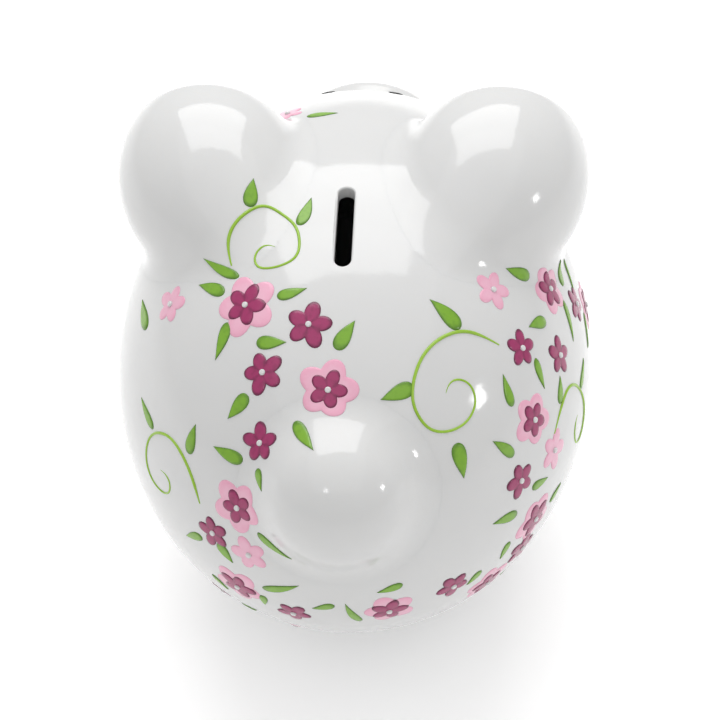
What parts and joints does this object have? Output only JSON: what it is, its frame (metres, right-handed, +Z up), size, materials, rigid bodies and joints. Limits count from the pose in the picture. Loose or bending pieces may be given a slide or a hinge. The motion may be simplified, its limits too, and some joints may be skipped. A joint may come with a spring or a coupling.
{
  "type": "piggy bank",
  "caption": "Round glazed ceramic pig coin bank with cupped ears, a coin slot on its back, a knob tail and a rubber belly stopper.",
  "frame": {"origin": "centre of the whole length and width, on the plane that the four feet stand on", "axes": "+Z up, -Y the way the pig faces, +X the pig's left side"},
  "size_m": [0.195, 0.274, 0.2175],
  "materials": {
    "white_glaze": "gloss",
    "stopper_rubber": "satin",
    "magenta_paint": "gloss",
    "pale_pink_paint": "gloss",
    "leaf_green_paint": "gloss",
    "vine_green_paint": "gloss",
    "black_paint": "gloss"
  },
  "bodies": {
    "bank": {"body_shell": "white_glaze", "left_ear": "white_glaze", "right_ear": "white_glaze", "snout": "white_glaze", "tail": "white_glaze", "front_left_foot": "white_glaze", "front_right_foot": "white_glaze", "rear_left_foot": "white_glaze", "rear_right_foot": "white_glaze"},
    "stopper": {"stopper": "stopper_rubber"}
  },
  "joints": [
    {"name": "stopper_pull", "type": "slide", "parent": "bank", "child": "stopper", "axis": [0, 0, -1], "range_m": [0, 0.03]}
  ]
}
